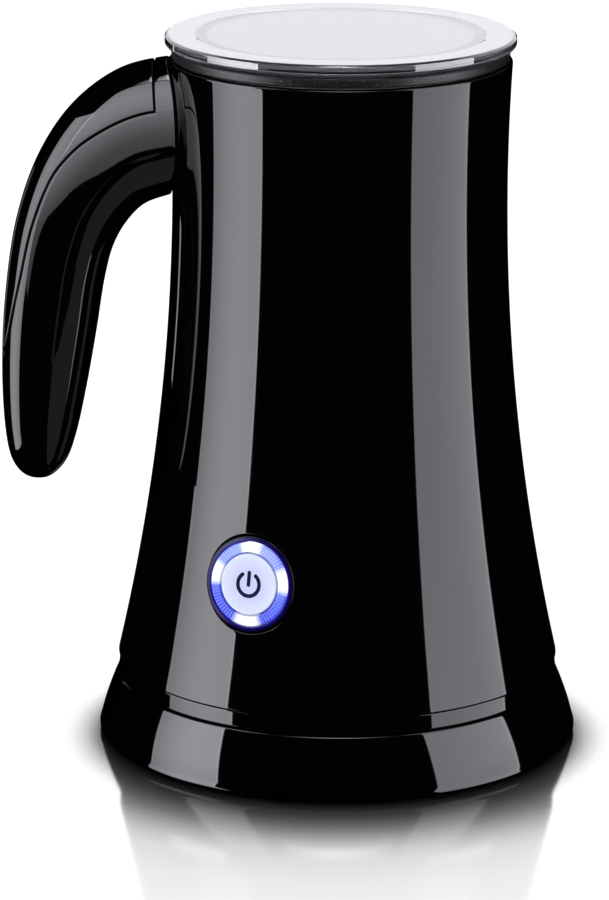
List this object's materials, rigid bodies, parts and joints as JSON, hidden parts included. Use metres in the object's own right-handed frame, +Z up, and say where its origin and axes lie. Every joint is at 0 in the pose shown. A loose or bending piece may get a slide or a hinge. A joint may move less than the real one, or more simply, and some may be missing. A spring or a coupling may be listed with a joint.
{
  "type": "milk frother",
  "caption": "Cordless electric milk frother: a flared gloss black jug with an open handle and lit push button, a clear lid and a magnetic whisk, on a round power base.",
  "frame": {"origin": "centre of the base plate's flat underside, on the jug's upright axis; the rubber feet stand 1.3 mm lower", "axes": "+Z up along the jug's axis, -X towards the handle, -Y towards the front, where the button is"},
  "size_m": [0.1517, 0.1275, 0.1872],
  "materials": {
    "gloss_black": "polished",
    "matte_black": "matte",
    "bezel_black": "satin",
    "non_stick_coating": "fine speckled satin",
    "clear_plastic": "clear, lightly frosted in the middle",
    "light_guide": "lit translucent blue",
    "button_white": "lit translucent white",
    "silicone": "matte translucent",
    "foot_rubber": "matte",
    "nylon": "satin",
    "steel": "brushed",
    "contact_brass": "polished",
    "magnet": "nickel plated",
    "circuit_board": "solder mask",
    "relay_blue": "matte",
    "white_plastic": "matte"
  },
  "bodies": {
    "power_base": {"base_cover": "gloss_black", "base_plate": "matte_black", "foot_1": "foot_rubber", "foot_2": "foot_rubber", "foot_3": "foot_rubber", "foot_4": "foot_rubber", "base_screw_1": "steel", "base_screw_2": "steel", "base_screw_3": "steel", "connector_tower": "matte_black", "tower_earth_ring": "contact_brass", "tower_centre_contact": "contact_brass", "cord_gland": "foot_rubber"},
    "swivel_ring": {"glide_ring": "nylon"},
    "jug": {"jug_housing": "gloss_black", "jug_bottom_cover": "gloss_black", "cover_screw_1": "steel", "cover_screw_2": "steel", "cover_screw_3": "steel", "jug_socket": "matte_black", "socket_pin": "contact_brass", "socket_ring": "contact_brass", "milk_pot": "non_stick_coating", "pot_gasket": "silicone", "whisk_spindle": "steel", "heating_element": "steel", "thermostat": "steel", "thermal_fuse": "white_plastic", "motor_can": "steel", "motor_bracket": "steel", "bracket_screw_1": "steel", "bracket_screw_2": "steel", "motor_screw_1": "steel", "motor_screw_2": "steel", "button_bezel": "bezel_black", "button_light_ring": "light_guide", "button_holder": "matte_black", "button_board": "circuit_board", "tact_switch": "matte_black", "main_board": "circuit_board", "power_relay": "relay_blue", "filter_capacitor": "matte_black", "handle_body": "gloss_black", "handle_cover": "gloss_black", "handle_screw_1": "steel", "handle_screw_2": "steel"},
    "drive_rotor": {"motor_shaft": "steel", "magnet_carrier": "white_plastic", "drive_magnet_1": "magnet", "drive_magnet_2": "magnet"},
    "whisk": {"whisk_hub": "matte_black", "whisk_magnet_1": "magnet", "whisk_magnet_2": "magnet", "whisk_coil": "steel"},
    "button": {"button_cap": "button_white"},
    "lid_body": {"lid": "clear_plastic", "lid_seal": "silicone"}
  },
  "joints": [
    {"name": "jug_swivel", "type": "hinge", "parent": "power_base", "child": "swivel_ring", "pos_m": [0, 0, 0.0153], "axis": [0, 0, 1], "continuous": true},
    {"name": "jug_lift", "type": "slide", "parent": "swivel_ring", "child": "jug", "axis": [0, 0, 1], "range_m": [0, 0.1]},
    {"name": "lid_lift", "type": "slide", "parent": "jug", "child": "lid_body", "axis": [0, 0, 1], "range_m": [0, 0.07]},
    {"name": "drive_spin", "type": "hinge", "parent": "jug", "child": "drive_rotor", "pos_m": [0, 0, 0.072], "axis": [0, 0, 1], "continuous": true},
    {"name": "whisk_lift", "type": "slide", "parent": "drive_rotor", "child": "whisk", "axis": [0, 0, 1], "range_m": [0, 0.07]},
    {"name": "button_press", "type": "slide", "parent": "jug", "child": "button", "axis": [0.4261, 0.8884, -0.1707], "range_m": [0, 0.0007], "stiffness_N_per_m": 900}
  ]
}
